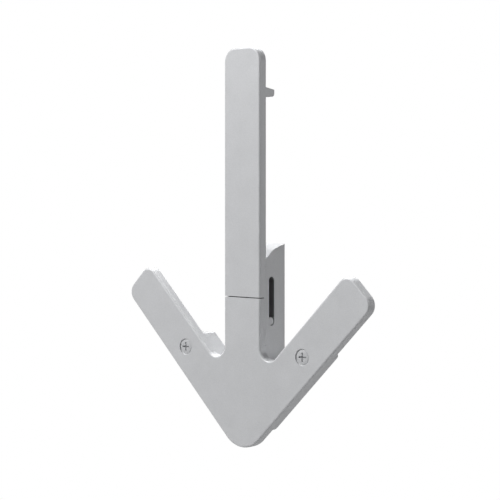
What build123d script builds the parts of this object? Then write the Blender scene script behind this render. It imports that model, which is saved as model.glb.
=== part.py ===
"""Headphone hook: an arrow-shaped hook head with a spring-closed sliding bar above it.

The bar and the head clamp a horizontal rail between the tooth at the top of the bar and
the ramp on the head. The head is pulled away from the bar against two springs, hooked on,
and let go.

Frame: +Z up, the front of the hook faces -Y, X runs across the hook.
Origin: centre of the soft pad on the back of the bar, on the plane that rests on the rail.
All sizes are in millimetres.
"""
import os

from build123d import *

os.makedirs("parts", exist_ok=True)


# ---------------------------------------------------------------- helpers
def pair(x, z):
    """Two places, (X, Z), mirrored across the middle of the hook."""
    return [(-x, z), (x, z)]


def mirrored(half, *middle):
    """Closed outline from its +X half, with any points on the middle line."""
    return [*half, *middle, *[(-x, z) for x, z in reversed(half)]]


def corners(sketch, *places):
    """Vertices of a front-view sketch at the given (|X|, Z) places."""
    return [
        v
        for v in sketch.vertices()
        if any(abs(abs(v.X) - x) < 0.5 and abs(v.Y - z) < 0.5 for x, z in places)
    ]


def facing_front(y):
    """Plane at depth y: local y is Z, and extrusions run forward, to -Y."""
    return Plane.XZ.offset(-y)


def span(width, low, high, radius=0):
    """Centred rectangle between two heights, added to the sketch in progress."""
    with Locations((0, (low + high) / 2)):
        if radius:
            RectangleRounded(width, high - low, radius)
        else:
            Rectangle(width, high - low)


def turned(profile, places, mode=Mode.ADD):
    """Turn a (radius, Y) profile about the Y axis through each place.

    The sketch doesn't join the caller's part by itself, so it is passed to revolve.
    """
    for x, z in places:
        with BuildSketch(Plane(origin=(x, 0, z), x_dir=(1, 0, 0), z_dir=(0, 0, 1))) as section:
            with BuildLine():
                Polyline(*profile, close=True)
            make_face()
        revolve(section.sketch, axis=Axis((x, 0, z), (0, 1, 0)), mode=mode)


def cross_screws(places, profile, recess_y, inward, length, width, depth, taper):
    """Screws with cross recesses cut from recess_y; inward is +1 for +Y, -1 for -Y."""
    with BuildPart() as screws:
        for x, z in places:
            turned(profile, [(x, z)])
            recess = Plane(origin=(x, recess_y, z), x_dir=(1, 0, 0), z_dir=(0, inward, 0))
            with BuildSketch(recess):
                Rectangle(length, width)
                Rectangle(width, length)
            extrude(amount=depth, taper=taper, mode=Mode.SUBTRACT)
    return screws.part


def save(part, name):
    part.label = name
    export_step(part, f"parts/{name}.step")


# ---------------------------------------------------------------- driving dimensions
bar_width = 23.6        # the bar, the stem and the housing block
plate_depth = 4.7       # thickness of the bar and of the arrow plate
block_depth = 15.0      # the housing block behind the plate
pad_proud = 0.4         # how far the pad stands behind the back of the plate
run_gap = 0.05          # running clearance of the slide
tongue_depth = 1.5      # steel tongue between the plate and the block
over = 1.0              # how far cutters run past the faces they cut

seam_z = -60.4          # middle of the gap between the bar and the stem
seam_gap = 0.5
edge_radius = 1.1       # rounding of the front edges

# depths along Y, and heights of the seam
plate_back = -pad_proud                     # also the front of the block
bar_back = plate_back - run_gap             # also the back of the tongue
front_y = plate_back - plate_depth
block_back = plate_back + block_depth
tongue_front = bar_back - tongue_depth
half_width = bar_width / 2
bar_low = seam_z + seam_gap / 2
stem_top = seam_z - seam_gap / 2

# arrow head
inner_edge = -110.85    # inner edges of the arms: Z = |X| + inner_edge
outer_edge = -141.8     # outer edges of the arms: Z = |X| + outer_edge
tip_sum = 19.85         # ends of the arms: |X| + Z = tip_sum
notch = (half_width, half_width + inner_edge)   # where the arms leave the stem

# shared by several pieces
tongue_top = -45.1
tongue_low = -84.0
front_wall = 2.0        # the block's wall in front of the cavity
cavity_width = 16.8
cavity_ceiling = -41.0
cavity_floor = -78.0
cover_depth = 2.0
cover_width = 20.0
cover_high = -36.7
cover_low = -84.0
cover_radius = 2.0
pad_pocket = 0.6        # depth of the pad's pocket in the bar
pin_diameter = 4.0
pin_y = plate_back + 4.4
pin_z = -72.3

arm_places = pair(38.4, -87.7)
cover_places = pair(6, -38.9) + pair(6, -81.2)
bar_places = pair(7, -52.5)             # screws from the tongue into the bar
carriage_places = pair(3.5, -67.2)      # screws from the tongue into the carriage

# ---------------------------------------------------------------- arrow-shaped front plate
notch_radius = 5.7
tip_radius = 6.0
apex_radius = 15.0
tip_inner_x = (tip_sum - inner_edge) / 2
tip_outer_x = (tip_sum - outer_edge) / 2
tip_inner = (tip_inner_x, tip_inner_x + inner_edge)
tip_outer = (tip_outer_x, tip_outer_x + outer_edge)
apex = (0, outer_edge)

# (radius, Y): shallow seat, cone and clearance hole
arm_hole = [
    (0, front_y - over),
    (4.15, front_y - over),
    (4.15, front_y + 0.3),
    (3.95, front_y + 0.45),
    (2.2, front_y + 2.3),
    (2.2, plate_back + over),
    (0, plate_back + over),
]
with BuildPart() as front_plate:
    with BuildSketch(facing_front(plate_back)) as outline:
        with BuildLine():
            arrow = mirrored([(half_width, stem_top), notch, tip_inner, tip_outer], apex)
            Polyline(*arrow, close=True)
        make_face()
        fillet(corners(outline, notch), notch_radius)
        fillet(corners(outline, tip_inner, tip_outer), tip_radius)
        fillet(corners(outline, apex), apex_radius)
    extrude(amount=plate_depth)
    # round the front edges, but not the one at the seam
    rim = front_plate.faces().sort_by(Axis.Y)[0].outer_wire().edges()
    fillet([e for e in rim if e.center().Z < stem_top - 0.05], edge_radius)
    # rebate in the back of the stem for the tongue
    with BuildSketch(facing_front(plate_back)):
        span(bar_width + 2 * over, tongue_low - 0.1, stem_top + over)
    extrude(amount=tongue_depth + 2 * run_gap, mode=Mode.SUBTRACT)
    turned(arm_hole, arm_places, Mode.SUBTRACT)
save(front_plate.part, "front_plate")

# ---------------------------------------------------------------- rear body: housing block and V-shaped backing
backing_depth = 9.2
backing_top = -80.7
backing_bottom = -127.5
backing_outer = outer_edge + 4.0    # outer edges, 2.8 mm inside the plate's
backing_end = -36.8                 # square ends: |X| + Z = backing_end

end_top = (backing_end - backing_top, backing_top)
end_outer_x = (backing_end - backing_outer) / 2
end_outer = (end_outer_x, end_outer_x + backing_outer)
bottom = (backing_bottom - backing_outer, backing_bottom)
backing_half = [
    (half_width, notch[1] + 22),
    notch,
    (backing_top - inner_edge, backing_top),
    end_top,
    end_outer,
    bottom,
]

ramp_mid_z = -36.4      # where the ramp bends
block_foot = -108.8
# (Y, Z): the ramp from front to back, then the back and the chamfered foot
block_side = [
    (plate_back, -40.9),
    (plate_back + 6.2, ramp_mid_z),
    (block_back, -33.85),
    (block_back, -101.0),
    (plate_back + backing_depth - 1.0, block_foot),
    (plate_back, block_foot),
]

window_width = 12.2
window_low = -77.3
window_high = -44.2
slot_width = 4.1
slot_low = -74.5
slot_high = -50.05

# (radius, Y)
cover_pilot = [
    (0, block_back),
    (0.92, block_back),
    (0.92, block_back - 7),
    (0, block_back - 7.5),
]
insert_hole = [
    (0, plate_back - over),
    (2.85, plate_back - over),
    (2.85, plate_back + 5.7),
    (2.2, plate_back + 5.7),
    (2.2, plate_back + 7.2),
    (0, plate_back + 7.2),
]
with BuildPart() as rear_body:
    with BuildSketch(facing_front(plate_back + backing_depth)) as backing:
        with BuildLine():
            Polyline(*mirrored(backing_half), close=True)
        make_face()
        fillet(corners(backing, end_top), 3.0)
        fillet(corners(backing, end_outer), 1.5)
        fillet(corners(backing, bottom), 5.0)
    extrude(amount=backing_depth)
    fillet(rear_body.faces().sort_by(Axis.Y)[-1].outer_wire().edges(), 0.3)
    # the block, with the ramp on top
    with BuildSketch(Plane.YZ) as side:
        with BuildLine():
            Polyline(*block_side, close=True)
        make_face()
        fillet([v for v in side.vertices() if abs(v.Y - ramp_mid_z) < 0.01], 6.0)
    extrude(amount=half_width, both=True)
    # the block's upright back edges
    fillet(
        [
            e
            for e in rear_body.edges().filter_by(Axis.Z)
            if abs(e.center().Y - block_back) < 0.01
            and abs(abs(e.center().X) - half_width) < 0.01
        ],
        0.4,
    )
    # cavity, open to the back, and the recess for its cover
    with BuildSketch(facing_front(block_back + over)):
        span(cavity_width, cavity_floor, cavity_ceiling, 1.0)
    extrude(amount=block_depth + over - front_wall, mode=Mode.SUBTRACT)
    with BuildSketch(facing_front(block_back + over)):
        span(cover_width + 0.2, cover_low - 0.1, cover_high + 0.1, cover_radius + 0.1)
    extrude(amount=cover_depth + over, mode=Mode.SUBTRACT)
    # window in the front wall for the carriage's boss
    with BuildSketch(facing_front(plate_back + front_wall + over)):
        span(window_width, window_low, window_high, 0.6)
    extrude(amount=front_wall + 2 * over, mode=Mode.SUBTRACT)
    # guide slots through both side walls
    with BuildSketch(Plane.YZ.offset(-half_width - over)):
        with Locations((pin_y, (slot_low + slot_high) / 2)):
            SlotOverall(slot_high - slot_low, slot_width, rotation=90)
    extrude(amount=bar_width + 2 * over, mode=Mode.SUBTRACT)
    turned(cover_pilot, cover_places, Mode.SUBTRACT)
    turned(insert_hole, arm_places, Mode.SUBTRACT)
save(rear_body.part, "rear_body")

# ---------------------------------------------------------------- threaded inserts, grooved round the middle
insert_bore = 2.0       # radii
insert_outer = 2.83
insert_groove = 2.45
# (radius, Y)
insert_profile = [
    (insert_bore, plate_back + 0.05),
    (insert_outer, plate_back + 0.05),
    (insert_outer, plate_back + 2.2),
    (insert_groove, plate_back + 2.2),
    (insert_groove, plate_back + 3.2),
    (insert_outer, plate_back + 3.2),
    (insert_outer, plate_back + 5.2),
    (2.6, plate_back + 5.6),
    (insert_bore, plate_back + 5.6),
]
with BuildPart() as threaded_inserts:
    turned(insert_profile, arm_places)
save(threaded_inserts.part, "threaded_inserts")

# ---------------------------------------------------------------- arm screws, M4 countersunk
# (radius, Y)
arm_screw = [
    (0, front_y + 0.22),
    (2.4, front_y + 0.22),
    (3.5, front_y + 0.36),
    (3.75, front_y + 0.62),
    (1.95, front_y + 2.4),
    (1.95, front_y + 10.4),
    (1.5, front_y + 10.9),
    (0, front_y + 10.9),
]
arm_screws = cross_screws(
    arm_places, arm_screw, recess_y=front_y + 0.15, inward=1,
    length=4.6, width=0.85, depth=1.2, taper=9,
)
save(arm_screws, "arm_screws")

# ---------------------------------------------------------------- cover over the cavity, and its screws
# (radius, Y)
cover_hole = [
    (0, block_back + 0.5),
    (1.95, block_back + 0.5),
    (1.95, block_back - 0.2),
    (1.05, block_back - 1.1),
    (1.05, block_back - 3),
    (0, block_back - 3),
]
with BuildPart() as rear_cover:
    with BuildSketch(facing_front(block_back)):
        span(cover_width, cover_low, cover_high, cover_radius)
    extrude(amount=cover_depth)
    turned(cover_hole, cover_places, Mode.SUBTRACT)
save(rear_cover.part, "rear_cover")

cover_screw = [
    (0, block_back - 0.1),
    (1.8, block_back - 0.1),
    (1.85, block_back - 0.25),
    (0.9, block_back - 1.2),
    (0.9, block_back - 6.2),
    (0.6, block_back - 6.6),
    (0, block_back - 6.6),
]
cover_screws = cross_screws(
    cover_places, cover_screw, recess_y=block_back, inward=-1,
    length=2.1, width=0.5, depth=0.95, taper=8,
)
save(cover_screws, "cover_screws")

# ---------------------------------------------------------------- upper bar with its tooth
bar_top = 64.75
bar_corner = 7.2        # outline radius of the top corners
tooth_low = 39.8        # underside of the tooth
tooth_base = 44.4       # top of the tooth where it leaves the bar
tooth_tip = 43.4        # top of the tooth at its end
tooth_end = bar_back + 6.6
pad_width = 14.0
pad_height = 66.0
pad_radius = 3.0

# (Y, Z)
tooth_side = [
    (bar_back - over, tooth_low),
    (tooth_end, tooth_low),
    (tooth_end, tooth_tip),
    (bar_back, tooth_base),
    (bar_back - over, tooth_base),
]
# (radius, Y): blind hole for a tongue screw
bar_hole = [
    (0, tongue_front + over),
    (1.22, tongue_front + over),
    (1.22, tongue_front - 1.9),
    (0, tongue_front - 2.2),
]
with BuildPart() as upper_bar:
    with BuildSketch(facing_front(bar_back)) as bar_outline:
        span(bar_width, bar_low, bar_top)
        fillet(bar_outline.vertices().group_by(Axis.Y)[-1], bar_corner)
    extrude(amount=bar_back - front_y)
    # round the front edges, but not the one at the seam
    rim = upper_bar.faces().sort_by(Axis.Y)[0].outer_wire().edges()
    fillet([e for e in rim if e.center().Z > bar_low + 0.05], edge_radius)
    # tooth that hooks over the rail
    with BuildSketch(Plane.YZ) as tooth:
        with BuildLine():
            Polyline(*tooth_side, close=True)
        make_face()
        fillet([v for v in tooth.vertices() if abs(v.X - tooth_end) < 0.01 and v.Y < 41], 1.8)
        fillet([v for v in tooth.vertices() if abs(v.X - tooth_end) < 0.01 and v.Y > 43], 0.4)
    extrude(amount=half_width, both=True)
    # rebate in the back for the tongue
    with BuildSketch(facing_front(bar_back)):
        span(bar_width + 2 * over, bar_low - over, tongue_top + 0.1)
    extrude(amount=tongue_depth, mode=Mode.SUBTRACT)
    turned(bar_hole, bar_places, Mode.SUBTRACT)
    # shallow pocket for the pad
    with BuildSketch(facing_front(bar_back)):
        RectangleRounded(pad_width + 0.2, pad_height + 0.2, pad_radius + 0.1)
    extrude(amount=pad_pocket, mode=Mode.SUBTRACT)
save(upper_bar.part, "upper_bar")

# ---------------------------------------------------------------- soft pad that rests on the rail
with BuildPart() as bar_pad:
    with BuildSketch(Plane.XZ):
        RectangleRounded(pad_width, pad_height, pad_radius)
    extrude(amount=pad_pocket - bar_back)
save(bar_pad.part, "bar_pad")


# ---------------------------------------------------------------- steel tongue behind the bar and the stem
def tongue_hole(face_y, inward):
    """(radius, Y) profile of a hole countersunk from the face at face_y."""
    return [
        (0, face_y - 0.5 * inward),
        (2.4, face_y - 0.5 * inward),
        (2.4, face_y),
        (1.3, face_y + 1.1 * inward),
        (1.3, face_y + 3 * inward),
        (0, face_y + 3 * inward),
    ]


with BuildPart() as slide_tongue:
    with BuildSketch(facing_front(bar_back)):
        span(bar_width, tongue_low, tongue_top)
    extrude(amount=tongue_depth)
    turned(tongue_hole(bar_back, -1), bar_places, Mode.SUBTRACT)
    turned(tongue_hole(tongue_front, 1), carriage_places, Mode.SUBTRACT)
save(slide_tongue.part, "slide_tongue")

# (radius, Y)
tongue_screw = [
    (0, bar_back - 0.06),
    (2.3, bar_back - 0.06),
    (1.2, bar_back - 1.16),
    (1.2, tongue_front - 1.6),
    (0, tongue_front - 1.8),
]
tongue_screws = cross_screws(
    bar_places, tongue_screw, recess_y=bar_back, inward=-1,
    length=2.4, width=0.5, depth=0.9, taper=8,
)
save(tongue_screws, "tongue_screws")

# ---------------------------------------------------------------- carriage inside the block, and its screws
carriage_low = -77.5
carriage_high = -64.0
carriage_width = cavity_width - 0.2
carriage_back = 7.2     # from the back of the plate
boss_low = -77.0
boss_high = -64.5
foot_height = 2.5
foot_back = 12.4        # from the back of the plate
spring_x = 4.4
spring_y = plate_back + 9.9

# (radius, Y)
carriage_hole = [
    (0, bar_back - over),
    (1.22, bar_back - over),
    (1.22, plate_back + 6.0),
    (0, plate_back + 6.4),
]
with BuildPart() as slide_carriage:
    with BuildSketch(facing_front(plate_back + carriage_back)):
        span(carriage_width, carriage_low, carriage_high, 0.8)
    extrude(amount=carriage_back - front_wall - 0.1)
    # boss through the window, against the tongue
    with BuildSketch(facing_front(plate_back + front_wall + 0.5)):
        span(window_width - 0.2, boss_low, boss_high, 0.5)
    extrude(amount=front_wall + 0.5 + run_gap)
    # foot under the springs
    with BuildSketch(facing_front(plate_back + foot_back)):
        span(carriage_width, carriage_low, carriage_low + foot_height, 0.5)
    extrude(amount=5.6)
    # posts inside the springs
    for x in (-spring_x, spring_x):
        with BuildSketch(Plane(origin=(x, spring_y, carriage_low + 2.0), z_dir=(0, 0, 1))):
            Circle(1.5)
        extrude(amount=5.0)
    turned(carriage_hole, carriage_places, Mode.SUBTRACT)
    # hole for the guide pin
    with BuildSketch(Plane.YZ.offset(-half_width)):
        with Locations((pin_y, pin_z)):
            Circle(pin_diameter / 2 + 0.01)
    extrude(amount=bar_width, mode=Mode.SUBTRACT)
save(slide_carriage.part, "slide_carriage")

carriage_screw = [
    (0, tongue_front + 0.06),
    (2.3, tongue_front + 0.06),
    (1.2, tongue_front + 1.16),
    (1.2, plate_back + 5.4),
    (0.9, plate_back + 5.8),
    (0, plate_back + 5.8),
]
carriage_screws = cross_screws(
    carriage_places, carriage_screw, recess_y=tongue_front, inward=1,
    length=2.4, width=0.5, depth=0.9, taper=8,
)
save(carriage_screws, "carriage_screws")

# ---------------------------------------------------------------- guide pin
pin_length = 22.8
with BuildPart() as guide_pin:
    with BuildSketch(Plane.YZ.offset(-pin_length / 2)):
        with Locations((pin_y, pin_z)):
            Circle(pin_diameter / 2)
    extrude(amount=pin_length)
    chamfer(guide_pin.edges().filter_by(GeomType.CIRCLE), 0.2)
save(guide_pin.part, "guide_pin")

# ---------------------------------------------------------------- return springs
wire_diameter = 0.55
coil_radius = 1.95      # to the middle of the wire
turns = 14
end_gap = wire_diameter / 2 + 0.03
spring_low = carriage_low + foot_height + end_gap
spring_height = cavity_ceiling - end_gap - spring_low
with BuildPart() as return_springs:
    for x in (-spring_x, spring_x):
        with BuildLine() as coil:
            Helix(
                pitch=spring_height / turns,
                height=spring_height,
                radius=coil_radius,
                center=(x, spring_y, spring_low),
            )
        path = coil.edges()[-1]
        with BuildSketch(Plane(origin=path @ 0, z_dir=path % 0)):
            Circle(wire_diameter / 2)
        sweep(path=path, is_frenet=True)
save(return_springs.part, "return_springs")
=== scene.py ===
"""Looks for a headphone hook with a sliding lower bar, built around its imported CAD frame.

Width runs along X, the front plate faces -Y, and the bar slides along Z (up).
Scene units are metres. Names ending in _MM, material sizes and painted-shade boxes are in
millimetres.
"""
import math
import bmesh
import bpy
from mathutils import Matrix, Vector


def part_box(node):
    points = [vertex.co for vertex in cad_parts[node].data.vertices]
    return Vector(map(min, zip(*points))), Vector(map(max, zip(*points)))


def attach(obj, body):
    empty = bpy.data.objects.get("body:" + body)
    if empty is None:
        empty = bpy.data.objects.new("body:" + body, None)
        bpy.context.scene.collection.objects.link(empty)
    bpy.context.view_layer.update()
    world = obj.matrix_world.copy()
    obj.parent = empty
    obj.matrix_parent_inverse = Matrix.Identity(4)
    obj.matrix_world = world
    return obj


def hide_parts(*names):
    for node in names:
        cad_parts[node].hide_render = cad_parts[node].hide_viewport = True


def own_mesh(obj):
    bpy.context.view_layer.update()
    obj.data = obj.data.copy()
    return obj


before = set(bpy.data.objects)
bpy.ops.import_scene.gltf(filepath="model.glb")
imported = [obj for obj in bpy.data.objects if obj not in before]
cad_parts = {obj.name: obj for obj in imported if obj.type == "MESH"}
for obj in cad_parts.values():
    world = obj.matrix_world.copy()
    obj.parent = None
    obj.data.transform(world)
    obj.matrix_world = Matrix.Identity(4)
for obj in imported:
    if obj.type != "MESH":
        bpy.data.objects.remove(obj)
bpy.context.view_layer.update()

MM = 0.001
scene = bpy.context.scene

# ------------------------------------------------------------------ node helpers

# The mix node's colour sockets share names with its other types, so they go by index.
MIX_LOW, MIX_HIGH, MIX_RESULT = 6, 7, 2


class Nodes:
    """Builds an emptied node tree; values passed around are sockets or plain numbers."""

    def __init__(self, owner):
        owner.use_nodes = True
        self.tree = owner.node_tree
        self.tree.nodes.clear()

    def feed(self, node, key, value):
        """Links a socket to an input, or sets the input to a plain value."""
        if isinstance(value, bpy.types.NodeSocket):
            self.tree.links.new(value, node.inputs[key])
        else:
            node.inputs[key].default_value = value

    def add(self, kind, inputs=None, **props):
        node = self.tree.nodes.new(kind)
        for key, value in props.items():
            setattr(node, key, value)
        for key, value in (inputs or {}).items():
            self.feed(node, key, value)
        return node

    def camera_switch(self, lighting, seen):
        """Shows one shader to the camera and the other to every other ray."""
        rays = self.add("ShaderNodeLightPath")
        is_camera = rays.outputs["Is Camera Ray"]
        return self.add("ShaderNodeMixShader", {0: is_camera, 1: lighting, 2: seen}).outputs[0]


class Graph(Nodes):
    """A material with a Principled surface and textures in object coordinates."""

    def __init__(self, name):
        self.mat = bpy.data.materials.new(name)
        super().__init__(self.mat)
        self.out = self.add("ShaderNodeOutputMaterial")
        self.bsdf = self.add("ShaderNodeBsdfPrincipled")
        self.feed(self.out, "Surface", self.bsdf.outputs["BSDF"])
        self.coord = self.add("ShaderNodeTexCoord").outputs["Object"]

    def scaled(self, size_mm, stretch=(1, 1, 1)):
        """Coordinates in which size_mm is one unit; stretch is a further scale per axis."""
        per_size = 1.0 / (size_mm * MM)
        scale = tuple(per_size * factor for factor in stretch)
        return self.add("ShaderNodeMapping", {"Vector": self.coord, "Scale": scale}).outputs[0]

    def noise(self, size_mm, detail=3.0, rough=0.5, stretch=(1, 1, 1)):
        """Noise whose features are about size_mm wide."""
        inputs = {
            "Scale": 1.0,
            "Detail": detail,
            "Roughness": rough,
            "Vector": self.scaled(size_mm, stretch),
        }
        return self.add("ShaderNodeTexNoise", inputs).outputs["Fac"]

    def voronoi(self, size_mm):
        """Outputs of a cell texture with cells about size_mm wide."""
        inputs = {"Scale": 1.0, "Vector": self.scaled(size_mm)}
        return self.add("ShaderNodeTexVoronoi", inputs).outputs

    def remap(self, source, start, end, low=0.0, high=1.0):
        """Maps start..end of a socket to low..high, clamped."""
        inputs = {
            "Value": source,
            "From Min": start,
            "From Max": end,
            "To Min": low,
            "To Max": high,
        }
        return self.add("ShaderNodeMapRange", inputs, clamp=True).outputs[0]

    def spread(self, noise, low=0.0, high=1.0):
        """Maps the middle of a noise's range to low..high."""
        return self.remap(noise, start=0.3, end=0.7, low=low, high=high)

    def math(self, operation, first, second, clamp=False):
        inputs = {0: first, 1: second}
        node = self.add("ShaderNodeMath", inputs, operation=operation, use_clamp=clamp)
        return node.outputs[0]

    def mix(self, factor, low, high):
        """Mixes two colours, each a socket or an RGB tuple."""
        inputs = {0: factor}
        for slot, colour in ((MIX_LOW, low), (MIX_HIGH, high)):
            inputs[slot] = (*colour, 1.0) if isinstance(colour, tuple) else colour
        return self.add("ShaderNodeMix", inputs, data_type="RGBA").outputs[MIX_RESULT]

    def combine(self, channels):
        return self.add("ShaderNodeCombineColor", dict(enumerate(channels))).outputs["Color"]

    def edge_mask(self, radius_mm, start, end):
        """Mask of the edges, from how far a bevelled normal turns away, and that normal."""
        bevel = self.add("ShaderNodeBevel", {"Radius": radius_mm * MM}, samples=6).outputs[0]
        face = self.add("ShaderNodeNewGeometry").outputs["Normal"]
        dot = self.add("ShaderNodeVectorMath", {0: bevel, 1: face}, operation="DOT_PRODUCT")
        turn = self.math("SUBTRACT", 1.0, dot.outputs["Value"])
        return self.remap(turn, start=start, end=end), bevel

    def inside_box(self, lo, hi, soft):
        """1 inside a box in the object's frame (mm), fading over soft mm at its faces."""
        axes = self.add("ShaderNodeSeparateXYZ", {0: self.coord}).outputs
        mask = None
        for i in range(3):
            for bound, sign in ((lo[i], 1), (hi[i], -1)):
                edge = self.remap(axes[i], start=bound * MM, end=(bound + sign * soft) * MM)
                mask = edge if mask is None else self.math("MULTIPLY", mask, edge)
        return mask

    def bump(self, layers, distance_mm, normal=None):
        """Chains bump layers (height, strength) on top of an optional normal."""
        for height, strength in layers:
            inputs = {"Strength": strength, "Distance": distance_mm * MM, "Height": height}
            if normal is not None:
                inputs["Normal"] = normal
            normal = self.add("ShaderNodeBump", inputs).outputs["Normal"]
        self.feed(self.bsdf, "Normal", normal)

    def surface(self, **values):
        """Sets Principled inputs, with underscores for the spaces in their names."""
        for key, value in values.items():
            self.feed(self.bsdf, key.replace("_", " "), value)


# ------------------------------------------------------------------ materials

SILVER_TINT = (0.987, 0.998, 1.021)  # slightly cool, per colour channel

# Painted shade as (lowest corner, highest corner, fade at the faces, grey level): a darker grey
# painted where shade falls in the cavity, the slots and the seam.
CAVITY_SHADE = ((-10.9, 1.7, -78.3), (10.9, 12.7, -40.7), 0.3, 0.26)  # the slide's cavity, painted shade on its inner walls
SLOT_SHADE = ((-11.7, 1.7, -70.3), (11.7, 12.7, -49.0), 0.2, 0.24)  # painted shade on the side slots' walls above the resting pin
SEAM_SHADE = ((-11.2, -4.2, -61.2), (11.2, 0.0, -59.9), 0.1, 0.08)  # painted shade in the gap between bar and plate


def silver_paint(name, base=0.60, rough=0.46, grain=0.18, wear=0.18, bevel=0.16, shade_boxes=()):
    """Metallic paint: base grey, roughness, bump strength, edge wear, edge radius (mm) and boxes of
    painted shade.
    """
    g = Graph(name)
    fine = g.noise(size_mm=0.42, detail=2.0, rough=0.55)
    flake = g.voronoi(size_mm=0.30)
    cloud = g.noise(size_mm=9.0)
    mask, bevelled = g.edge_mask(radius_mm=bevel, start=0.04, end=0.30)
    broken = g.noise(size_mm=1.6, detail=4.0, rough=0.65)
    chips = g.remap(broken, start=0.42, end=0.66)
    worn = g.math("MULTIPLY", mask, chips)
    worn = g.math("MULTIPLY", worn, wear, clamp=True)

    # Brightness steps from flake to flake, plus two scales of mottling.
    cells = g.add("ShaderNodeSeparateColor", {0: flake["Color"]}).outputs[0]
    sparkle = g.remap(cells, start=0.0, end=1.0, low=-0.022, high=0.022)
    mottle = g.spread(cloud, low=-0.010, high=0.010)
    grit = g.spread(fine, low=-0.012, high=0.012)
    tone = g.math("ADD", sparkle, mottle)
    tone = g.math("ADD", tone, grit)
    tone = g.math("ADD", tone, base)
    colour = g.combine([g.math("MULTIPLY", tone, tint) for tint in SILVER_TINT])

    # Worn edges are brighter, with a touch more blue.
    colour = g.mix(worn, low=colour, high=(base * 1.13, base * 1.13, base * 1.14))
    # Painted shade: each box darkens the paint to its grey level where shade falls in recesses and
    # gaps.
    for lo, hi, soft, grey in shade_boxes:
        inner = g.inside_box(lo, hi, soft)
        colour = g.mix(inner, low=colour, high=(grey, grey, grey * 1.03))

    roughness = g.math(
        "ADD",
        g.spread(fine, low=rough - 0.05, high=rough + 0.05),
        g.spread(cloud, low=-0.02, high=0.02),
    )
    polish = g.math("MULTIPLY", worn, -0.10)
    roughness = g.math("ADD", roughness, polish)
    g.surface(
        Base_Color=colour, Roughness=roughness, Metallic=0.12, Specular_IOR_Level=0.45
    )
    layers = [(fine, grain), (flake["Distance"], grain * 0.4)]
    g.bump(layers, distance_mm=0.06, normal=bevelled)
    return g.mat


def brushed_steel(name):
    base = (0.55, 0.55, 0.56)
    g = Graph(name)
    lines = g.noise(size_mm=0.12, rough=0.6, stretch=(0.06, 1, 1))
    cloud = g.noise(size_mm=3.5)
    mask, bevelled = g.edge_mask(radius_mm=0.12, start=0.05, end=0.35)
    body = g.mix(g.spread(cloud), low=tuple(c * 0.86 for c in base), high=base)
    colour = g.mix(mask, low=body, high=tuple(c * 1.25 for c in base))
    g.surface(Base_Color=colour, Roughness=g.spread(lines, low=0.24, high=0.44), Metallic=0.70)
    g.bump([(lines, 0.22)], distance_mm=0.02, normal=bevelled)
    return g.mat


def brass(name):
    g = Graph(name)
    lines = g.noise(size_mm=0.15, stretch=(1, 0.1, 1))
    cloud = g.noise(size_mm=1.8, detail=4.0, rough=0.6)
    mask, bevelled = g.edge_mask(radius_mm=0.15, start=0.05, end=0.35)
    tarnish = g.remap(cloud, start=0.35, end=0.7)
    body = g.mix(tarnish, low=(0.72, 0.53, 0.22), high=(0.50, 0.34, 0.13))
    colour = g.mix(mask, low=body, high=(0.86, 0.68, 0.34))
    g.surface(Base_Color=colour, Roughness=g.spread(lines, low=0.22, high=0.42), Metallic=0.95)
    g.bump([(lines, 0.25)], distance_mm=0.02, normal=bevelled)
    return g.mat


def soft_rubber(name):
    g = Graph(name)
    stipple = g.voronoi(size_mm=0.35)["Distance"]
    fine = g.noise(size_mm=0.18, rough=0.6)
    dust = g.noise(size_mm=6.0, detail=5.0, rough=0.6)
    mask, bevelled = g.edge_mask(radius_mm=0.25, start=0.05, end=0.4)
    haze = g.remap(dust, start=0.45, end=0.75, high=0.6)
    body = g.mix(haze, low=(0.030, 0.030, 0.033), high=(0.060, 0.060, 0.062))
    colour = g.mix(mask, low=body, high=(0.085, 0.085, 0.088))
    roughness = g.spread(fine, low=0.66, high=0.86)
    g.surface(Base_Color=colour, Roughness=roughness, Specular_IOR_Level=0.35)
    g.bump([(stipple, 0.35), (fine, 0.25)], distance_mm=0.05, normal=bevelled)
    return g.mat


def moulded_plastic(name):
    g = Graph(name)
    fine = g.noise(size_mm=0.30, rough=0.6)
    flow = g.noise(size_mm=5.0, stretch=(1, 1, 0.25))
    mask, bevelled = g.edge_mask(radius_mm=0.2, start=0.05, end=0.4)
    body = g.mix(g.spread(flow), low=(0.13, 0.13, 0.135), high=(0.17, 0.17, 0.175))
    colour = g.mix(mask, low=body, high=(0.24, 0.24, 0.245))
    g.surface(Base_Color=colour, Roughness=g.spread(fine, low=0.45, high=0.62))
    g.bump([(fine, 0.3)], distance_mm=0.03, normal=bevelled)
    return g.mat


def spring_wire(name):
    g = Graph(name)
    draw = g.noise(size_mm=0.10, stretch=(1, 1, 0.3))
    oil = g.noise(size_mm=1.5, detail=4.0)
    tint = g.remap(oil, start=0.35, end=0.7)
    colour = g.mix(tint, low=(0.34, 0.34, 0.36), high=(0.24, 0.23, 0.24))
    g.surface(Base_Color=colour, Roughness=g.spread(draw, low=0.22, high=0.42), Metallic=0.95)
    g.bump([(draw, 0.2)], distance_mm=0.01)
    return g.mat


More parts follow.
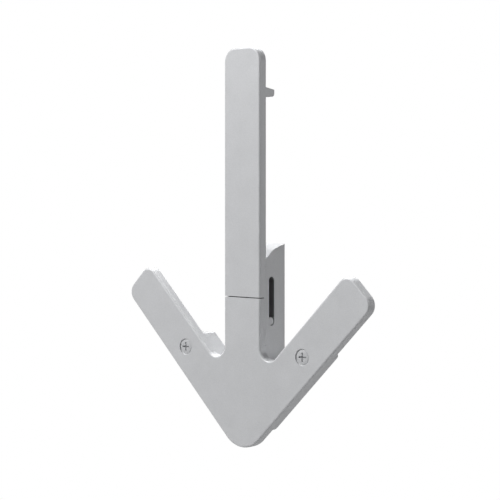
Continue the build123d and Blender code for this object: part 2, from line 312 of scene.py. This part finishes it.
# The bar and plate paint carries painted shade on the faces inside the seam between them.
paint = silver_paint("silver_paint", shade_boxes=(SEAM_SHADE,))
paint_screw = silver_paint(
    "silver_paint_screw", base=0.585, rough=0.38, grain=0.16, wear=0.6, bevel=0.12
)
steel = brushed_steel("zinc_steel")
MATERIAL_OF = {
    "front_plate": paint,
    # The body's paint carries painted shade in the cavity and the side slots.
    "rear_body": silver_paint("silver_paint_body", shade_boxes=(CAVITY_SHADE, SLOT_SHADE)),
    "rear_cover": silver_paint("silver_paint_cover", base=0.585, rough=0.50, grain=0.26),
    "upper_bar": paint,
    "slide_tongue": silver_paint("silver_paint_tongue", rough=0.42, grain=0.12, wear=0.6),
    "guide_pin": silver_paint("silver_paint_pin", rough=0.40, grain=0.12, bevel=0.12),
    "arm_screws": paint_screw,
    "cover_screws": steel,
    "tongue_screws": steel,
    "carriage_screws": steel,
    "threaded_inserts": brass("brass"),
    "slide_carriage": moulded_plastic("carriage_plastic"),
    "return_springs": spring_wire("spring_steel"),
    "bar_pad": soft_rubber("soft_pad"),
}
for node_name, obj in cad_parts.items():
    obj.data.materials.clear()
    obj.data.materials.append(MATERIAL_OF[node_name])

# ------------------------------------------------------------------ mesh helpers


def make_piece(name, bm, material, smooth=True):
    bmesh.ops.recalc_face_normals(bm, faces=bm.faces)
    mesh = bpy.data.meshes.new(name)
    bm.to_mesh(mesh)
    bm.free()
    for polygon in mesh.polygons:
        polygon.use_smooth = smooth
    mesh.materials.append(material)
    obj = bpy.data.objects.new(name, mesh)
    scene.collection.objects.link(obj)
    return obj


def bridge(bm, ring_a, ring_b):
    """Joins two closed rings of equal length with quads."""
    for i in range(len(ring_a)):
        j = (i + 1) % len(ring_a)
        bm.faces.new((ring_a[i], ring_a[j], ring_b[j], ring_b[i]))


# ------------------------------------------------------------------ return springs
# Two compression springs with closed ends, from the carriage's foot to the cavity's ceiling.
WIRE = 0.55 * MM  # wire diameter
COIL_RADIUS = 1.95 * MM  # to the wire's centre
SPRING_X = 4.4 * MM  # each side of the middle
TURNS = 12.0
CLOSED_TURNS = 1.0  # at each end
CLOSED_PITCH = WIRE * 1.02
STEPS_PER_TURN = 40
WIRE_SIDES = 12

spring_lo, spring_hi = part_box("return_springs")
wire_z_lo = spring_lo.z + WIRE / 2
wire_z_hi = spring_hi.z - WIRE / 2


def coil_height(turn):
    """Height along the spring: closed turns at each end and even pitch between them."""
    if turn < CLOSED_TURNS:
        return wire_z_lo + turn * CLOSED_PITCH
    if turn > TURNS - CLOSED_TURNS:
        return wire_z_hi - (TURNS - turn) * CLOSED_PITCH
    closed = CLOSED_TURNS * CLOSED_PITCH
    part = (turn - CLOSED_TURNS) / (TURNS - 2 * CLOSED_TURNS)
    return wire_z_lo + closed + (wire_z_hi - wire_z_lo - 2 * closed) * part


def coil(bm, centre_x, centre_y):
    steps = int(TURNS * STEPS_PER_TURN)
    path = []
    for i in range(steps + 1):
        turn = TURNS * i / steps
        angle = 2 * math.pi * turn
        x = centre_x + COIL_RADIUS * math.cos(angle)
        y = centre_y + COIL_RADIUS * math.sin(angle)
        path.append(Vector((x, y, coil_height(turn))))
    rings = []
    for i, point in enumerate(path):
        tangent = (path[min(i + 1, steps)] - path[max(i - 1, 0)]).normalized()
        outward = Vector((point.x - centre_x, point.y - centre_y, 0)).normalized()
        side = tangent.cross(outward).normalized()
        outward = side.cross(tangent).normalized()
        ring = []
        for k in range(WIRE_SIDES):
            angle = 2 * math.pi * k / WIRE_SIDES
            across = outward * (WIRE / 2 * math.cos(angle))
            along = side * (WIRE / 2 * math.sin(angle))
            ring.append(bm.verts.new(point + across + along))
        rings.append(ring)
    for ring_a, ring_b in zip(rings, rings[1:]):
        bridge(bm, ring_a, ring_b)
    bm.faces.new(list(reversed(rings[0])))
    bm.faces.new(rings[-1])


bm = bmesh.new()
for x in (-SPRING_X, SPRING_X):
    coil(bm, x, (spring_lo.y + spring_hi.y) / 2)
springs = make_piece("return_spring_pair", bm, MATERIAL_OF["return_springs"])
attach(springs, "head")
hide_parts("return_springs")
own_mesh(springs)

# ------------------------------------------------------------------ soft pad on the back of the bar
# Flat towards the front; grooves run across its back (+Y) face.
CORNER = 3.0 * MM  # outline's corner radius
ROUND = 0.42 * MM  # rounding of the back face's rim
ROUND_STEPS = 5
GROOVE_PITCH = 1.65 * MM
GROOVE_DEPTH = 0.16 * MM
PLAIN_MARGIN = 1.0 * MM  # ungrooved border
MARGIN_FADE = 0.6 * MM
COLUMNS, ROWS = 26, 320
END_CROWDING = 0.12  # share of cosine spacing, which packs rows near both ends

pad_lo, pad_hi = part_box("bar_pad")
half_width = (pad_hi.x - pad_lo.x) / 2
half_height = (pad_hi.z - pad_lo.z) / 2
pad_z = (pad_hi.z + pad_lo.z) / 2


def outline_half_width(z, inset):
    """Half width of the rounded rectangle at height z, pulled in by inset."""
    radius = CORNER - inset
    width = half_width - inset
    over = abs(z) - (half_height - inset - radius)
    if over <= 0:
        return width
    over = min(over, radius)
    return width - radius + math.sqrt(radius * radius - over * over)


def pad_grid(bm, inset, y_of):
    """Rows of vertices along Z that fill the pad's outline."""
    rows = []
    for j in range(ROWS + 1):
        s = j / ROWS
        even = (2 * s - 1) * (1 - END_CROWDING)
        z = (half_height - inset) * (-math.cos(math.pi * s) * END_CROWDING + even)
        width = outline_half_width(z, inset)
        xs = [width * (2 * i / COLUMNS - 1) for i in range(COLUMNS + 1)]
        rows.append([bm.verts.new((x, y_of(x, z), pad_z + z)) for x in xs])
    return rows


def grooved_y(x, z):
    """Back face: narrow grooves that fade out before the border."""
    edge = min(half_width - abs(x), half_height - abs(z))
    fade = min(max((edge - PLAIN_MARGIN) / MARGIN_FADE, 0.0), 1.0)
    fade = fade * fade * (3 - 2 * fade)
    wave = 0.5 - 0.5 * math.cos(2 * math.pi * z / GROOVE_PITCH)
    return pad_hi.y - GROOVE_DEPTH * fade * (wave ** 3)


def border(rows):
    loop = list(rows[0])
    loop += [row[-1] for row in rows[1:]]
    loop += list(reversed(rows[-1][:-1]))
    loop += [row[0] for row in reversed(rows[1:-1])]
    return loop


bm = bmesh.new()
back = pad_grid(bm, ROUND, grooved_y)
front = pad_grid(bm, 0.0, lambda x, z: pad_lo.y)
for rows, flip in ((back, False), (front, True)):
    for row_a, row_b in zip(rows, rows[1:]):
        for i in range(COLUMNS):
            quad = (row_a[i], row_a[i + 1], row_b[i + 1], row_b[i])
            bm.faces.new(tuple(reversed(quad)) if flip else quad)
inner, outer = border(back), border(front)
previous = inner
for step in range(1, ROUND_STEPS + 1):
    angle = step / ROUND_STEPS * math.pi / 2
    y = pad_hi.y - ROUND * (1 - math.cos(angle))
    ring = []
    for vert_in, vert_out in zip(inner, outer):
        mixed = vert_in.co.lerp(vert_out.co, math.sin(angle))
        ring.append(bm.verts.new((mixed.x, y, mixed.z)))
    bridge(bm, previous, ring)
    previous = ring
bridge(bm, previous, outer)
pad = make_piece("grip_pad", bm, MATERIAL_OF["bar_pad"])
pad.data.set_sharp_from_angle(angle=math.radians(55))
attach(pad, "bar")
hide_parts("bar_pad")

# ------------------------------------------------------------------ stage
FLOOR_Z = -0.80
FLOOR_RADIUS = 6
FLOOR_SEGMENTS = 96
WHITE = (1, 1, 1, 1)
AMBIENT = (0.065, 0.065, 0.065, 1)


def floor_material(name):
    """Pale matt floor that the camera sees as pure white."""
    g = Graph(name)
    tone = g.spread(g.noise(size_mm=300.0, detail=2.0), low=0.80, high=0.83)
    g.surface(Base_Color=g.combine([tone] * 3), Roughness=0.9)
    glow = g.add("ShaderNodeEmission", {"Color": WHITE, "Strength": 1.0}).outputs[0]
    g.feed(g.out, "Surface", g.camera_switch(g.bsdf.outputs["BSDF"], glow))
    return g.mat


bm = bmesh.new()
centre = bm.verts.new((0, 0, FLOOR_Z))
ring = []
for i in range(FLOOR_SEGMENTS):
    angle = 2 * math.pi * i / FLOOR_SEGMENTS
    x, y = FLOOR_RADIUS * math.cos(angle), FLOOR_RADIUS * math.sin(angle)
    ring.append(bm.verts.new((x, y, FLOOR_Z)))
for i in range(FLOOR_SEGMENTS):
    bm.faces.new((centre, ring[i], ring[(i + 1) % FLOOR_SEGMENTS]))
floor = make_piece("studio_floor", bm, floor_material("studio_floor"), smooth=False)

# The world is white to the camera and a dim grey to everything else.
world = bpy.data.worlds.new("studio")
scene.world = world
sky = Nodes(world)
sky_out = sky.add("ShaderNodeOutputWorld")
seen, ambient = (
    sky.add("ShaderNodeBackground", {"Color": colour, "Strength": 1.0}).outputs[0]
    for colour in (WHITE, AMBIENT)
)
sky.feed(sky_out, "Surface", sky.camera_switch(ambient, seen))

# ------------------------------------------------------------------ lights and camera
AIM = Vector((0.0, 0.0, -0.035))
# name: (position, side of the square, power in watts)
LIGHTS = {
    "key": ((-0.78, -1.00, 0.95), 0.6, 25.4),
    "front_fill": ((-0.45, -1.30, 0.60), 0.6, 3.2),
    "up": ((-0.15, 0.20, 0.49), 0.25, 4.4),
    "right": ((0.85, 0.05, 0.33), 0.3, 1.85),
    "right_back": ((0.5, 0.6, 0.05), 0.3, 0.38),
    "back_left": ((-0.7, 1.2, 0.35), 0.8, 3.5),
}
CAMERA_AT = (0.48986, -0.57195, -0.00686)
YAW = math.radians(40.83)  # turned from +Y towards -X
PITCH = 0.0  # downward tilt


def place(name, data, position, direction):
    """Adds a light or camera that looks along a direction."""
    obj = bpy.data.objects.new(name, data)
    obj.location = position
    obj.rotation_mode = "QUATERNION"
    obj.rotation_quaternion = direction.to_track_quat("-Z", "Y")
    scene.collection.objects.link(obj)
    return obj


for light_name, (position, size, power) in LIGHTS.items():
    light = bpy.data.lights.new(light_name, "AREA")
    light.shape = "SQUARE"
    light.size = size
    light.energy = power
    lamp = place(light_name, light, position, AIM - Vector(position))
    lamp.visible_camera = False

lens = bpy.data.cameras.new("camera")
lens.lens = 107.892
lens.shift_x, lens.shift_y = 0.01628, -0.11966
lens.sensor_width = 36.0
lens.clip_start, lens.clip_end = 0.05, 30.0
look = Vector(
    (-math.sin(YAW) * math.cos(PITCH), math.cos(YAW) * math.cos(PITCH), -math.sin(PITCH))
)
scene.camera = place("camera", lens, CAMERA_AT, look)

scene.view_settings.view_transform = "Standard"
scene.view_settings.look = "None"
scene.view_settings.exposure = 0.0
scene.view_settings.gamma = 1.0
